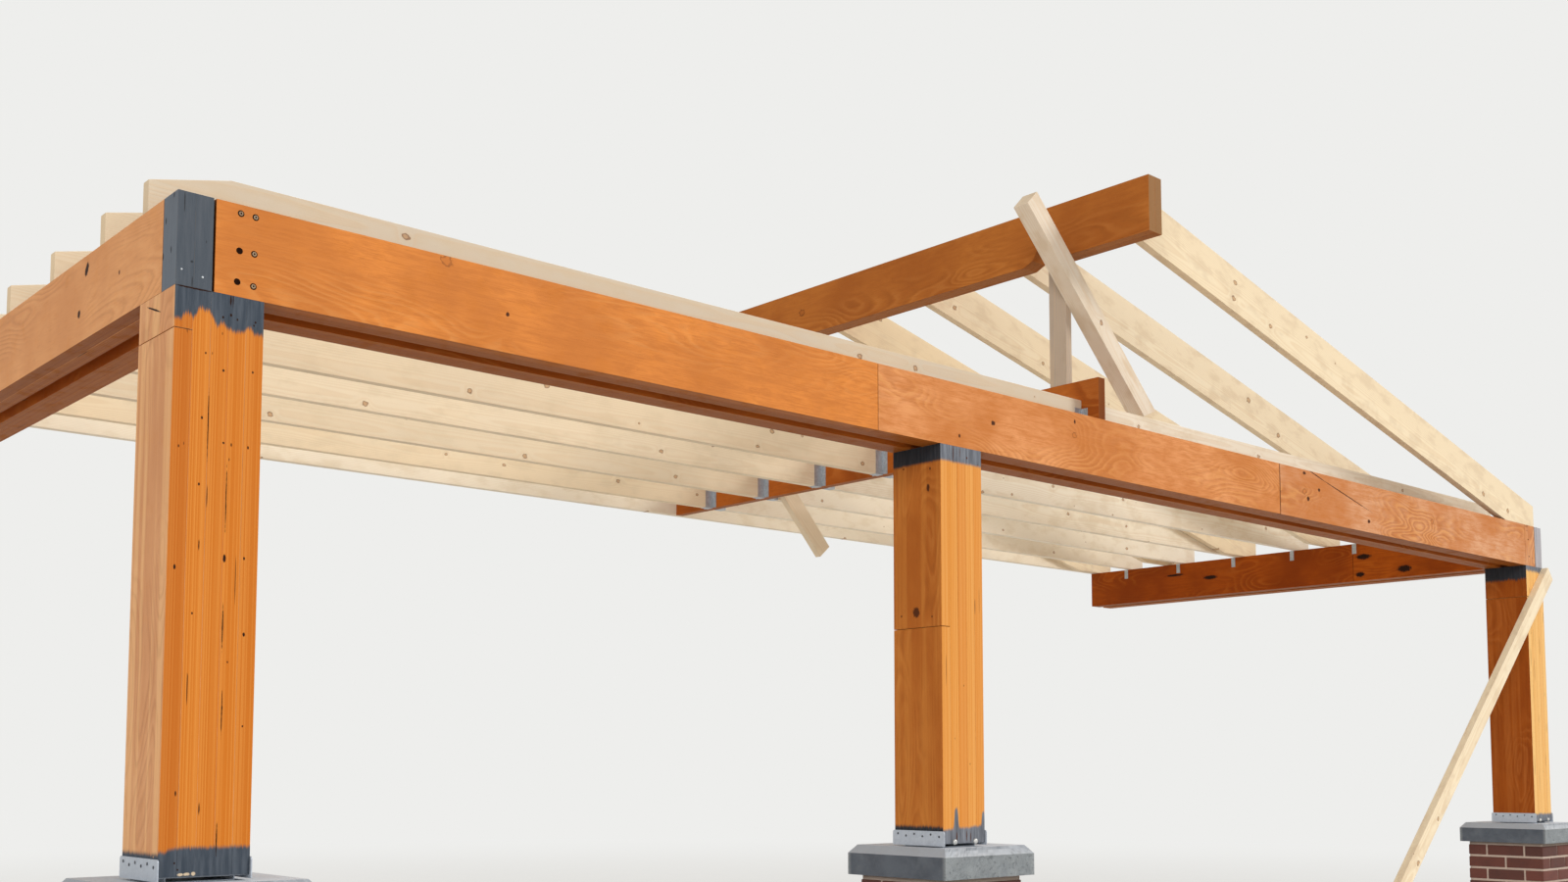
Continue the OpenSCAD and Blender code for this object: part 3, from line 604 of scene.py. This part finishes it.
class Pile:  # parts that will be one mesh, with the marks that the finishes read
    def __init__(self):
        self.points, self.faces, self.grain, self.shade, self.kind, self.smooth = [], [], [], [], [], []

    def add(self, mesh, centre, seed, shade, along=axisX, through=axisZ, smooth=False):
        mesh.normal_update()
        mesh.verts.index_update()
        dice = random.Random(seed)
        start = len(self.points)
        across = through.cross(along)
        shift = (  # where in the log the board was cut
            dice.uniform(0, 60), dice.uniform(-0.05, 0.05), dice.choice((-1, 1)) * dice.uniform(0.03, 0.11))
        for vert in mesh.verts:
            reach = vert.co - centre
            self.points.append(tuple(vert.co))
            self.grain.append([reach.dot(axis) + far for axis, far in zip((along, across, through), shift)])
            self.shade.append(shade)
        for face in mesh.faces:
            for kind, axis in (("end", along), ("wide", through), ("edge", across), ("arris", face.normal)):
                if abs(face.normal.dot(axis)) > 0.85 or kind == "arris":
                    break
            self.kind.append(faceKinds[kind])
            self.faces.append([start + corner.index for corner in face.verts])
            self.smooth.append(smooth)
        mesh.free()

    def finish(self, name, material, slotName, *stands):
        mesh = bpy.data.meshes.new(name)
        mesh.from_pydata(self.points, [], self.faces)
        flat = [part for point in self.grain for part in point]
        for mark, kind, where, field, values in (("grain", "FLOAT_VECTOR", "POINT", "vector", flat),
                                                 ("shade", "FLOAT", "POINT", "value", self.shade),
                                                 ("faceKind", "FLOAT", "FACE", "value", self.kind)):
            mesh.attributes.new(mark, kind, where).data.foreach_set(field, values)
        mesh.polygons.foreach_set("use_smooth", self.smooth)
        mesh.materials.append(material)
        mesh.update()
        piece = bpy.data.objects.new(name, mesh)
        scene.collection.objects.link(piece)
        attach(piece, "root")
        if stands:
            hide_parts(*stands)


def boxMesh(low, high):
    mesh = bmesh.new()
    bmesh.ops.create_cube(mesh, size=1.0)
    for vert in mesh.verts:
        vert.co = Vector((low[i] if vert.co[i] < 0 else high[i]) for i in range(3))
    return mesh


def eased(mesh, bevel, segments=2):  # breaks the arrises
    edges = [edge for edge in mesh.edges if len(edge.link_faces) == 2 and edge.calc_face_angle() > 0.3]
    bmesh.ops.bevel(mesh, geom=edges, offset=bevel, segments=segments, profile=0.6, affect="EDGES",
                    clamp_overlap=True)


def sliced(mesh, along, centre, length, seed):  # rings of points along a board, then a faint bow
    count = int(length / timber["step"])
    for number in range(1, count):
        at = centre + along * (length * (number / count - 0.5))
        bmesh.ops.bisect_plane(mesh, geom=mesh.verts[:] + mesh.edges[:] + mesh.faces[:], plane_co=at, plane_no=along)
    for vert in mesh.verts:
        drift = noise.noise_vector(Vector((vert.co.dot(along) * 0.9, seed * 7.3, 0.5)))
        vert.co += (drift - along * drift.dot(along)) * timber["bow"]


def bridged(mesh, rings):  # faces from ring to ring, closed at both ends
    for lower, upper in zip(rings, rings[1:]):
        for step in range(len(lower)):
            after = (step + 1) % len(lower)
            mesh.faces.new((lower[step], lower[after], upper[after], upper[step]))
    mesh.faces.new(rings[-1])
    mesh.faces.new(rings[0][::-1])


def islands(nodeName):  # the separate boards of a CAD node, with the flat faces whole again
    source = bmesh.new()
    source.from_mesh(nodes[nodeName].data)
    bmesh.ops.remove_doubles(source, verts=source.verts[:], dist=1e-5)
    bmesh.ops.dissolve_limit(source, angle_limit=0.02, verts=source.verts[:], edges=source.edges[:])
    seen, found = set(), []
    for first in source.verts:
        if first in seen:
            continue
        group, queue = [], [first]
        seen.add(first)
        while queue:
            vert = queue.pop()
            group.append(vert)
            for edge in vert.link_edges:
                other = edge.other_vert(vert)
                if other not in seen:
                    seen.add(other)
                    queue.append(other)
        fresh = bmesh.new()
        twin = {vert: fresh.verts.new(vert.co) for vert in group}
        for face in dict.fromkeys(face for vert in group for face in vert.link_faces):
            fresh.faces.new([twin[vert] for vert in face.verts])
        fresh.normal_update()
        found.append(fresh)
    source.free()
    found.sort(key=lambda mesh: tuple(round(min(vert.co[i] for vert in mesh.verts), 3) for i in (1, 0, 2)))
    return found


def forward(axis):
    return -axis if sum(axis) < 0 else axis


def measure(mesh):  # along the longest edge, through the largest face
    longest = max(mesh.edges, key=lambda edge: edge.calc_length())
    along = forward((longest.verts[1].co - longest.verts[0].co).normalized())
    through = forward(max(mesh.faces, key=lambda face: face.calc_area()).normal.copy())
    spans = [vert.co.dot(along) for vert in mesh.verts]
    middle = sum((vert.co for vert in mesh.verts), Vector()) / len(mesh.verts)
    middle += along * ((max(spans) + min(spans)) / 2 - middle.dot(along))
    return along, through, middle, max(spans) - min(spans)


def dressBoards(name, nodeName, material, slotName, bevel=timber["bevel"], shades=None):
    pile = Pile()
    for number, mesh in enumerate(islands(nodeName)):
        along, through, centre, length = measure(mesh)
        seed = sum(map(ord, name)) + number * 17
        eased(mesh, bevel)
        sliced(mesh, along, centre, length, seed)
        shade = shades[number] if shades else random.Random(seed + 5).random()
        pile.add(mesh, centre, seed, shade, along, through)
    pile.finish(name, material, slotName, nodeName)


def dressPlies(name, nodeName, material, slotName, layerAxis, count, runAxis, cuts=None, shades=None):
    low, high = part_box(nodeName)
    pile = Pile()
    thick = (high[layerAxis] - low[layerAxis]) / count
    along, through = (Vector([float(i == axis) for i in range(3)]) for axis in (runAxis, layerAxis))
    for number in range(count):
        stops = [low[runAxis], *(cuts or {}).get(number, ()), high[runAxis]]
        for part in range(len(stops) - 1):
            first, last = low.copy(), high.copy()
            first[layerAxis] = low[layerAxis] + number * thick
            last[layerAxis] = first[layerAxis] + thick
            first[runAxis] = stops[part] + (timber["sawGap"] if part else 0.0)
            last[runAxis] = stops[part + 1] - (timber["sawGap"] if part < len(stops) - 2 else 0.0)
            centre = (first + last) / 2
            seed = sum(map(ord, name)) * 3 + number * 29 + part * 7
            mesh = boxMesh(first, last)
            eased(mesh, timber["plyBevel"], 1)
            sliced(mesh, along, centre, last[runAxis] - first[runAxis], seed)
            shade = shades[number] if shades else random.Random(seed + 3).random()
            pile.add(mesh, centre, seed, shade, along, through)
    pile.finish(name, material, slotName, nodeName)


# Piers: real bricks in bond round a mortar core
brickWork = {"depth": 0.098, "joint": 0.010, "course": 0.0695, "bed": 0.012, "recess": 0.0045, "bevel": 0.003,
             "rough": 0.0011, "roughScale": 45.0, "topBed": 0.012, "coreCuts": 26, "sand": 0.0012,
             "sandScales": (60.0, 55.0), "seeds": {"left": 0, "middle": 700, "right": 1400}}


def layBrick(pile, low, high, seed):
    mesh = boxMesh(low, high)
    eased(mesh, brickWork["bevel"])
    long = [edge for edge in mesh.edges if edge.calc_length() > 0.04]
    bmesh.ops.subdivide_edges(mesh, edges=long, cuts=3, use_grid_fill=True)
    middle = (low + high) / 2
    for vert in mesh.verts:
        wobble = 0.5 + 0.5 * noise.noise(vert.co * brickWork["roughScale"] + Vector((seed, 0, 0)))
        vert.co += (middle - vert.co).normalized() * wobble * brickWork["rough"]
    pile.add(mesh, middle, seed, random.Random(seed).random(), smooth=True)


def buildPier(side):
    low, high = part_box("pier_" + side)
    courses = round((high.z - low.z) / brickWork["course"])
    rise = (high.z - low.z - brickWork["topBed"]) / courses
    wide, joint, depth = high.x - low.x, brickWork["joint"], brickWork["depth"]
    half = (wide - joint) / 2
    plan = []
    for near in (0.0, wide - depth):
        plan += [((0.0, near), (half, near + depth)), ((half + joint, near), (wide, near + depth))]
    for near in (0.0, wide - depth):
        plan.append(((near, depth + joint), (near + depth, wide - depth - joint)))
    bricks = Pile()
    for course in range(courses):
        bottom = low.z + course * rise + brickWork["bed"] * 0.5
        top = low.z + (course + 1) * rise - brickWork["bed"] * 0.5
        for number, (first, last) in enumerate(plan):
            if course % 2 == 0:
                first, last = first[::-1], last[::-1]
            layBrick(bricks, Vector((low.x + first[0], low.y + first[1], bottom)),
                     Vector((low.x + last[0], low.y + last[1], top)),
                     course * 11 + number + brickWork["seeds"][side])
    bricks.finish("pier_" + side + "_bricks", brickSkin, "brick", "pier_" + side)
    core, sand = Pile(), brickWork["sand"]
    inset = Vector((brickWork["recess"], brickWork["recess"], 0.0))
    mesh = boxMesh(low + inset, high - inset)
    bmesh.ops.subdivide_edges(mesh, edges=mesh.edges[:], cuts=brickWork["coreCuts"], use_grid_fill=True)
    for vert in mesh.verts:
        if low.z + 0.002 < vert.co.z < high.z - 0.002:
            vert.co += Vector([noise.noise(vert.co * scale) * sand for scale in brickWork["sandScales"]] + [0.0])
    core.add(mesh, (low + high) / 2, 5, 0.5, smooth=True)
    core.finish("pier_" + side + "_mortar", mortarSkin, "brick", "pier_" + side)


for side in sides:
    buildPier(side)
print("piers laid")

# Caps: sawn top with a bevel, rock-faced front and back
capCut = {"bevelHigh": 0.030, "bevelWide": 0.025, "cell": 0.009, "rough": 0.0065, "rockScale": 24.0,
          "cornerCells": 14, "sawnShare": 0.06, "rockFade": 0.016}


def buildCap(side, number):
    low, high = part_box("cap_" + side)
    middle = (low + high) / 2
    wide, wall = high.x - low.x, high.z - low.z - capCut["bevelHigh"]
    cells = int(wide / capCut["cell"])
    profile = [(0.0, wall * step / 8, 1.0 if step < 8 else 0.6) for step in range(9)]  # inset, height, roughness
    for step in (1, 2, 3):
        profile.append((capCut["bevelWide"] * step / 3, high.z - low.z - capCut["bevelHigh"] * (1 - step / 3),
                        0.7 if step < 3 else 0.4))
    mesh = bmesh.new()
    rings = []
    for inset, up, rough in profile:
        ring = []
        for quarter in range(4):
            turn = quarter * math.pi / 2
            out = Vector((math.sin(turn), -math.cos(turn), 0))
            for step in range(cells):
                x = -wide / 2 + inset + (wide - 2 * inset) * step / cells
                y = -wide / 2 + inset
                spot = Vector((x * math.cos(turn) - y * math.sin(turn), x * math.sin(turn) + y * math.cos(turn), 0))
                point = middle + spot
                point.z = low.z + up
                shift = Vector((number, 0, 0))
                bite = 0.5 + 0.5 * noise.fractal(point * capCut["rockScale"] + shift, 0.6, 2.1, 5)
                near = min(step, cells - step) / cells * capCut["cornerCells"]
                rocky = 1.0 if quarter % 2 == 0 else capCut["sawnShare"]
                point -= out * max(0.0, bite) * capCut["rough"] * rough * rocky * min(1.0, 0.25 + near)
                ring.append(mesh.verts.new(point))
        rings.append(ring)
    bridged(mesh, rings)
    pile = Pile()
    pile.add(mesh, middle, number, 0.0)
    pile.shade = [max(0.0, 1.0 - min(point[1] - low.y, high.y - point[1]) / capCut["rockFade"])
                  for point in pile.points]
    pile.finish("cap_" + side + "_stone", stoneSkin, "capstone", "cap_" + side)


for number, side in enumerate(sides):
    buildCap(side, number)
print("caps cut")


def buildPost(side):
    low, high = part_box("post_" + side)
    look = dict(posts[side], left=low.x, top=high.z, bottom=low.z)
    material = makeFinish(side + "PostTimber", laminated, look, look["marks"])
    dressPlies("post_" + side + "_plies", "post_" + side, material, "post_timber", 0, 5, 2,
               {0: (high.z - look["drop"],)}, look["shades"])


for side in sides:
    buildPost(side)
dressPlies("corner_block_left_plies", "corner_block_left", blockBlue, "blue_paint", 0, 2, 2)
dressPlies("corner_block_right_plies", "corner_block_right", blockGrey, "grey_paint", 0, 2, 2)
print("posts stood")

fine = timber["plyBevel"]
dressBoards("front_beam_face", "front_beam_boards", boardTimber, "face_veneer", fine, (0.05, 0.4, 0.85, 1.0))
dressBoards("front_beam_second", "front_beam_back_ply", beamTimber, "beam_timber", fine)
dressPlies("front_beam_inside", "front_beam_inner", beamTimber, "beam_timber", 1, 2, 0)
dressBoards("front_beam_blocks", "front_beam_spacers", beamTimber, "beam_timber")
for beam, outer, slotName, inner, cuts in (("left_beam", leftBeamTimber, "face_veneer", beamTimber, None),
                                           ("right_beam", beamTimber, "beam_timber", innerTimber, {0: (-2.0,)})):
    dressPlies(beam + "_outside", beam + "_outer", outer, slotName, 0, 2, 1)
    dressPlies(beam + "_inside", beam + "_inner", inner, "beam_timber", 0, 2, 1, cuts)
    dressBoards(beam + "_blocks", beam + "_spacers", beamTimber, "beam_timber")
dressBoards("cross_beam_ply", "cross_beam", beamTimber, "beam_timber", fine)
dressPlies("ridge_front_plies", "ridge_front", ridgeTimber, "beam_timber", 0, 2, 1)
dressBoards("ridge_rear_plies", "ridge_rear", ridgeTimber, "beam_timber", fine)
print("beams set")

dressBoards("wall_ledger", "ledger", joistTimber, "pale_timber")
# The right bay's joists take the palest tones, a painted sunlight; the left bay's are greyed, partly weathering and
# partly painted shade
dressBoards("joists_left_boards", "joists_left", joistTimber, "pale_timber",
            shades=(1.45, 1.1, 0.9, 1.15, 0.8, 1.2, 1.0))
dressBoards("joists_right_boards", "joists_right", joistTimber, "pale_timber",
            shades=(0.2, 0.0, 0.15, 0.0, 0.25, 0.1, 0.2))
for number in range(1, 7):
    dressBoards("rafter_%d_board" % number, "rafter_%d" % number, rafterTimber, "rafter_timber")
dressBoards("ridge_stud_board", "ridge_stud", studTimber, "pale_timber")
# The upper brace board is greyed, a painted shade, and the lower one pale, a painted sunlight
dressBoards("ridge_brace_boards", "ridge_brace", braceTimber, "pale_timber", shades=(0.0, 1.5))
dressBoards("hung_brace_board", "hung_brace", joistTimber, "pale_timber")
dressBoards("post_brace_board", "post_brace", rafterTimber, "pale_timber")
for name in ("base_left", "base_middle", "base_right", "hangers_left", "hangers_right", "ties_left", "ties_right"):
    dressBoards(name + "_metal", name, flangeSkin if "base" in name else zincSkin, "galvanised",
                timber["metalBevel"])
print("timbers and metal dressed")

# Fasteners, each kind one joined mesh: radii, how far each stands out, and where they sit in the metal
fastener = {"screw": (0.0058, 0.0016), "recess": (0.0026, 0.0008), "hole": (0.0086, 0.0006), "nail": (0.0036, 0.0012),
            "baseNail": (0.0042, 0.0016), "bolt": (0.0105, 0.009), "blockRise": 0.0014, "sheet": 0.0015,
            "basePitch": 0.040, "baseDrop": 0.012, "baseStagger": 0.007, "boltsAcross": (0.0585, 0.169),
            "screwLift": 0.0005, "recessLift": 0.0015, "boltLift": 0.005,
            "hangerEdge": 0.012, "hangerUps": (0.022, 0.058, 0.094), "hangerSeat": 0.05, "tieUps": (0.015, 0.042)}


def roundHead(pile, spot, out, size, seed, rim=10, dish=0.0):  # a domed or dished head on a face
    radius, rise = size
    out = Vector(out).normalized()
    side = out.orthogonal().normalized()
    other = out.cross(side)
    mesh = bmesh.new()
    turns = [2 * math.pi * step / rim for step in range(rim)]
    bridged(mesh, [[mesh.verts.new(Vector(spot) + out * rise * up + (side * math.cos(turn) + other * math.sin(turn))
                                   * radius * share) for turn in turns]
                   for share, up in ((1.0, 0.0), (0.96, 0.55), (0.7, 0.95), (0.4, 1.0 - dish))])
    pile.add(mesh, Vector(spot), seed, 0.5, side, out, True)


def driveScrews():
    front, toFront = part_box("front_beam_boards")[0].y, (0, -1, 0)
    heads, shadeDiscs = Pile(), Pile()
    spots = ((-3.7685, -0.098, True), (-3.7307, -0.099, True), (-3.7697, -0.1933, False), (-3.732, -0.1935, True),
             (-3.7737, -0.2727, False), (-3.7323, -0.2763, True), (3.8094, -0.0833, False), (3.832, -0.158, False),
             (3.8379, -0.256, False))
    radius, rise = fastener["hole"]
    # Each screw sits in a dark disc, and its drive recess is a small dark disc: painted shade
    for number, (x, z, shows) in enumerate(spots):
        roundHead(shadeDiscs, (x, front, z), toFront, (radius if x < 0 else radius * 0.5, rise), number, 16)
        if shows:
            roundHead(heads, (x, front - fastener["screwLift"], z), toFront, fastener["screw"], number, 16, 0.7)
            roundHead(shadeDiscs, (x, front - fastener["recessLift"], z), toFront, fastener["recess"], number, 6)
    heads.finish("beam_screws", screwSkin, "galvanised")
    shadeDiscs.finish("beam_screw_hole_shade", holeShadeSkin, "face_veneer")


def corners(mesh):
    return [Vector([pick(vert.co[i] for vert in mesh.verts) for i in range(3)]) for pick in (min, max)]


def driveNails():
    nails, dark, bolts = Pile(), Pile(), Pile()
    sheet, blockFront = fastener["sheet"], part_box("corner_block_left")[0].y
    for side in sides:
        low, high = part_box("base_" + side)
        # nails in both flanges, whose dark heads are a painted shade
        for number in range(6):
            y = (low.y + high.y) / 2 + (number - 2.5) * fastener["basePitch"]
            z = high.z - fastener["baseDrop"] - ((number + 1) % 2) * fastener["baseStagger"]
            for x, way in ((low.x, -1), (high.x, 1)):
                roundHead(dark, (x, y, z), (way, 0, 0), fastener["baseNail"], number)
        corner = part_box("post_" + side)[0]
        for across in fastener["boltsAcross"] if side != "left" else ():
            spot = corner + Vector((across, 0.0005, fastener["boltLift"]))
            roundHead(bolts, spot, (0, -1, 0), fastener["bolt"], 3, 12)
    for x, z, radius in ((-3.9115, -0.2707, 0.0026), (-3.86, -0.2802, 0.003)):  # in the left corner block
        roundHead(nails, (x, blockFront, z), (0, -1, 0), (radius, fastener["blockRise"]), 3, 12)
    for node, way in (("hangers_left", -1), ("hangers_right", 1), ("ties_left", 1), ("ties_right", -1)):
        for mesh in islands(node):
            low, high = corners(mesh)
            mesh.free()
            face = low.x + sheet if way > 0 else high.x - sheet
            x, y = (low.x + high.x) / 2, (low.y + high.y) / 2
            if "hangers" in node:
                spots = [(face, y, low.z + up, way, 0) for y in (low.y + fastener["hangerEdge"],
                                                                high.y - fastener["hangerEdge"])
                         for up in fastener["hangerUps"]]
                spots += [(x, y, low.z + fastener["hangerSeat"], 0, out) for y, out in ((low.y, -1), (high.y, 1))]
            else:
                spots = [spot for up in fastener["tieUps"]
                         for spot in ((face, y, low.z + up, way, 0), (x, low.y + sheet, high.z - up + 0.005, 0, 1))]
            for *spot, outX, outY in spots:
                roundHead(nails, spot, (outX, outY, 0), fastener["nail"], 1, 8)
    nails.finish("bracket_nails", zincSkin, "galvanised")
    bolts.finish("foot_bolts", boltSkin, "galvanised")
    dark.finish("base_nails", nailShadeSkin, "galvanised")


driveScrews()
driveNails()
print("fasteners driven")


# Floor, light and camera
def buildFloor():
    ground = min(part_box("pier_left")[0].z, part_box("pier_right")[0].z)
    mesh = bmesh.new()
    bmesh.ops.create_circle(mesh, cap_ends=True, segments=96, radius=floorLook["radius"])
    for vert in mesh.verts:
        vert.co.z = ground - 0.001
    data = bpy.data.meshes.new("floor")
    mesh.to_mesh(data)
    mesh.free()
    floor = bpy.data.objects.new("floor", data)
    scene.collection.objects.link(floor)
    material = makeFinish("paleFloor", paleGround, floorLook)
    tree = bench["tree"]
    away = vector("LENGTH", addNode("TexCoord", out="Object"), out="Value")
    far = fade(away, *floorLook["clear"])  # the floor ends in the backdrop
    seen = far * addNode("LightPath", out="Is Camera Ray")
    glow = addNode("Emission", {"Color": light["backdrop"], "Strength": 1.0})
    both = addNode("MixShader", {0: seen, 1: Wire(tree.nodes["Principled BSDF"].outputs[0]), 2: glow})
    plugIn(tree.nodes["Material Output"].inputs["Surface"], both)
    data.materials.append(material)


def buildLight():
    world = bpy.data.worlds.new("paleSky")
    scene.world = world
    world.use_nodes = True
    bench["tree"] = world.node_tree
    world.node_tree.nodes.clear()
    seen = addNode("Background", {"Color": light["backdrop"], "Strength": 1.0})
    lit = addNode("Background", {"Color": light["skyTone"], "Strength": light["skyStrength"]})
    rays = addNode("LightPath", out=("Is Camera Ray", "Is Transmission Ray"))
    both = addNode("MixShader", {0: calc("MAXIMUM", *rays), 1: lit, 2: seen})
    addNode("OutputWorld", {"Surface": both}, ())
    for name in ("key", "fill"):
        lamp = bpy.data.lights.new(name + "Lamp", "SUN")
        lamp.energy = light[name + "Strength"]
        lamp.angle = light["keySoftness"]
        item = bpy.data.objects.new(name + "Lamp", lamp)
        scene.collection.objects.link(item)
        item.rotation_euler = Vector(light[name + "From"]).to_track_quat("Z", "Y").to_euler()


def buildCamera():
    low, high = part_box("post_left")
    lens = bpy.data.cameras.new("photoCamera")
    lens.lens = view["lens"]
    lens.sensor_width = view["sensor"]
    lens.shift_y = view["shift"]
    lens.clip_end = view["reach"]
    item = bpy.data.objects.new("photoCamera", lens)
    scene.collection.objects.link(item)
    item.location = Vector((low.x, low.y, high.z)) + Vector(view["fromPostTop"])
    item.rotation_euler = (math.pi / 2 + view["tilt"], 0.0, -view["turn"])
    scene.camera = item


buildFloor()
buildLight()
buildCamera()
scene.view_settings.view_transform = "Standard"
print("stage set")
